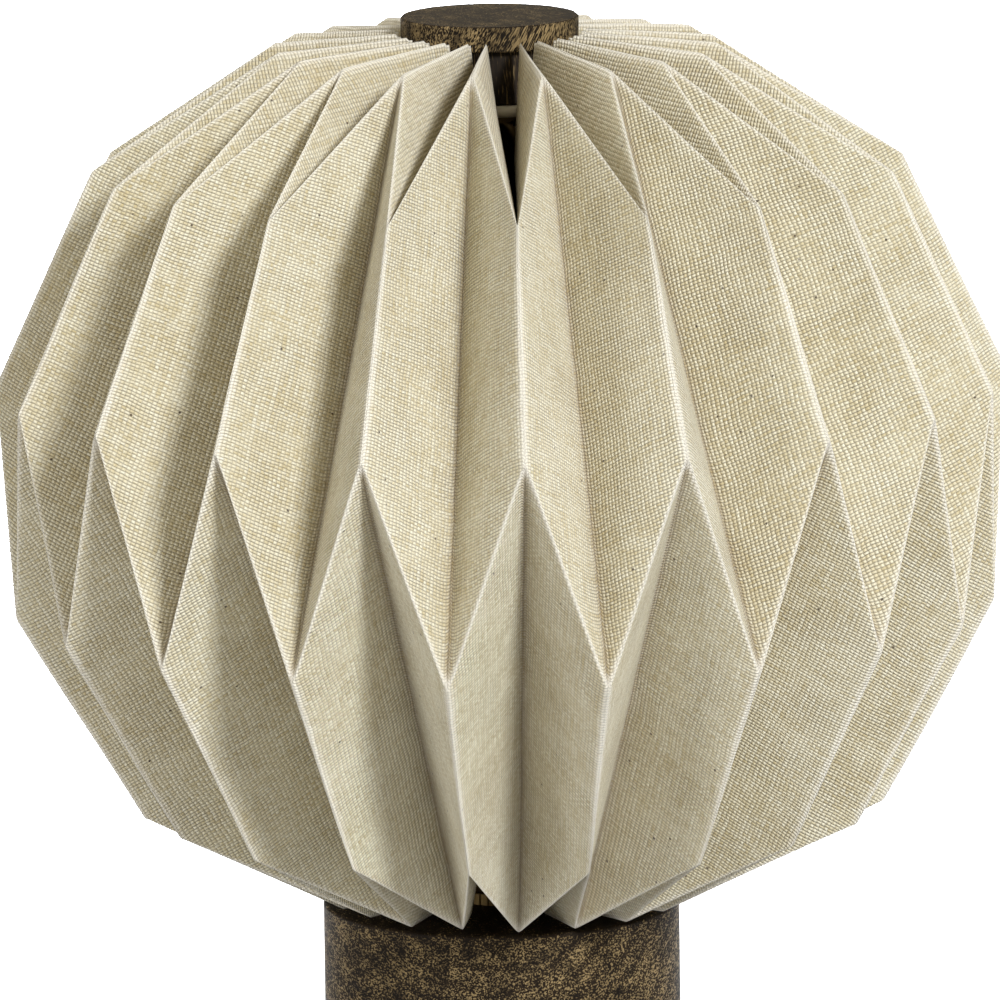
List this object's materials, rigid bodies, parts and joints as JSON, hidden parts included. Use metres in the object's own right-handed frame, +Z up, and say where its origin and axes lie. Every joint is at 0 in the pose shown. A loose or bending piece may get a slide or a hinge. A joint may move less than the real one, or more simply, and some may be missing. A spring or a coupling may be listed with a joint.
{
  "type": "pleated paper table lamp",
  "caption": "Table lamp with a globe shade of folded woven cloth, a wooden cap that screws it to a wire harp, and a wooden drum base",
  "frame": {"origin": "middle of the base's underside, on the surface that the lamp stands on", "axes": "+Z up along the lamp's axis; the shade's seam and slit face -Y, 2.7 degrees to the right seen from the front; the cable bush faces +Y"},
  "size_m": [0.301, 0.301, 0.4],
  "materials": {
    "base_wood": "oiled, dark",
    "cap_wood": "matt, grey brown",
    "neck_wood": "matt, dark",
    "felt": "felt",
    "linen": "natural plain weave with dark flecks",
    "cast_iron": "raw",
    "black_rubber": "matt",
    "zinc_steel": "zinc plated",
    "brass": "satin",
    "nickel": "nickel plated",
    "porcelain": "glazed",
    "glass": "clear",
    "black_glass": "gloss",
    "filament": "phosphor coat",
    "cream_lacquer": "cream lacquer"
  },
  "bodies": {
    "base": {"base_body": "base_wood", "felt_pad": "felt", "ballast_disc": "cast_iron", "cable_bush": "black_rubber", "threaded_rod": "zinc_steel", "rod_washer": "zinc_steel", "rod_nut": "zinc_steel", "check_ring": "brass", "stem_tube": "brass", "harp_saddle": "brass", "saddle_nut": "zinc_steel", "holder_cap": "brass", "holder_shell": "brass", "holder_insulator": "porcelain", "screw_shell": "nickel", "centre_contact": "brass", "terminal_screws": "zinc_steel"},
    "harp": {"harp_wire": "brass", "harp_plate": "brass"},
    "sleeve_left_body": {"sleeve_left": "brass"},
    "sleeve_right_body": {"sleeve_right": "brass"},
    "bulb": {"bulb_base": "nickel", "bulb_glass": "glass", "bulb_insulator": "black_glass", "bulb_contact": "nickel", "bulb_stem": "glass", "bulb_filaments": "filament"},
    "shade": {"shade_fabric": "linen", "shade_spider": "cream_lacquer", "shade_lower_ring": "cream_lacquer"},
    "cap": {"cap_disc": "cap_wood", "cap_neck": "neck_wood", "neck_insert": "brass", "cap_screws": "zinc_steel"}
  },
  "joints": [
    {"name": "harp_lift", "type": "slide", "parent": "base", "child": "harp", "axis": [0, 0, 1], "range_m": [0, 0.12]},
    {"name": "sleeve_left_lift", "type": "slide", "parent": "harp", "child": "sleeve_left_body", "axis": [0, 0, 1], "range_m": [0, 0.012]},
    {"name": "sleeve_right_lift", "type": "slide", "parent": "harp", "child": "sleeve_right_body", "axis": [0, 0, 1], "range_m": [0, 0.012]},
    {"name": "shade_lift", "type": "slide", "parent": "harp", "child": "shade", "axis": [0, 0, 1], "range_m": [0, 0.26]},
    {"name": "cap_turn", "type": "hinge", "parent": "shade", "child": "cap", "pos_m": [0, 0, 0.3759], "axis": [0, 0, 1], "continuous": true},
    {"name": "bulb_turn", "type": "hinge", "parent": "base", "child": "bulb", "pos_m": [0, 0, 0.2093], "axis": [0, 0, 1], "continuous": true}
  ]
}
